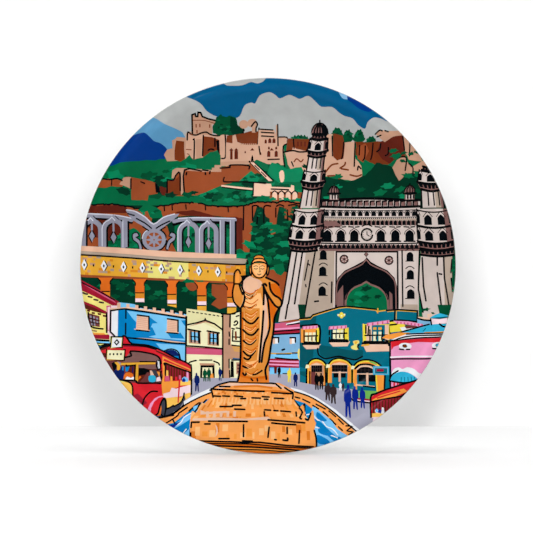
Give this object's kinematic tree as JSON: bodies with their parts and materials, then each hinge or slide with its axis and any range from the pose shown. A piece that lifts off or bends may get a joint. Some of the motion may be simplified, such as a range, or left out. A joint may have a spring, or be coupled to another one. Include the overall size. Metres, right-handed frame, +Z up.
{
  "type": "souvenir plate",
  "caption": "Round ceramic souvenir plate with a shallow rim, a printed picture face, a foot ring and a wire bail to hang it on a wall.",
  "frame": {"origin": "middle of the foot ring's seat, the plane that lies against the wall", "axes": "+Y along the plate's axis towards the wall, so the picture faces -Y; +Z up the picture; +X to the right of the picture seen from the front"},
  "size_m": [0.2032, 0.0212, 0.2032],
  "materials": {
    "ceramic_glaze": "clear gloss glaze over an off-white body",
    "picture_print": "many-coloured picture under a clear gloss glaze",
    "hanger_wire": "drawn brass wire, slightly dulled"
  },
  "bodies": {
    "plate": {"plate_body": "ceramic_glaze", "printed_coat": "picture_print"},
    "bail": {"hanging_bail": "hanger_wire"}
  },
  "joints": [
    {"name": "bail_swing", "type": "hinge", "parent": "plate", "child": "bail", "pos_m": [0, -0.0024, 0.0401], "axis": [-1, 0, 0], "range_deg": [-7, 130]}
  ]
}
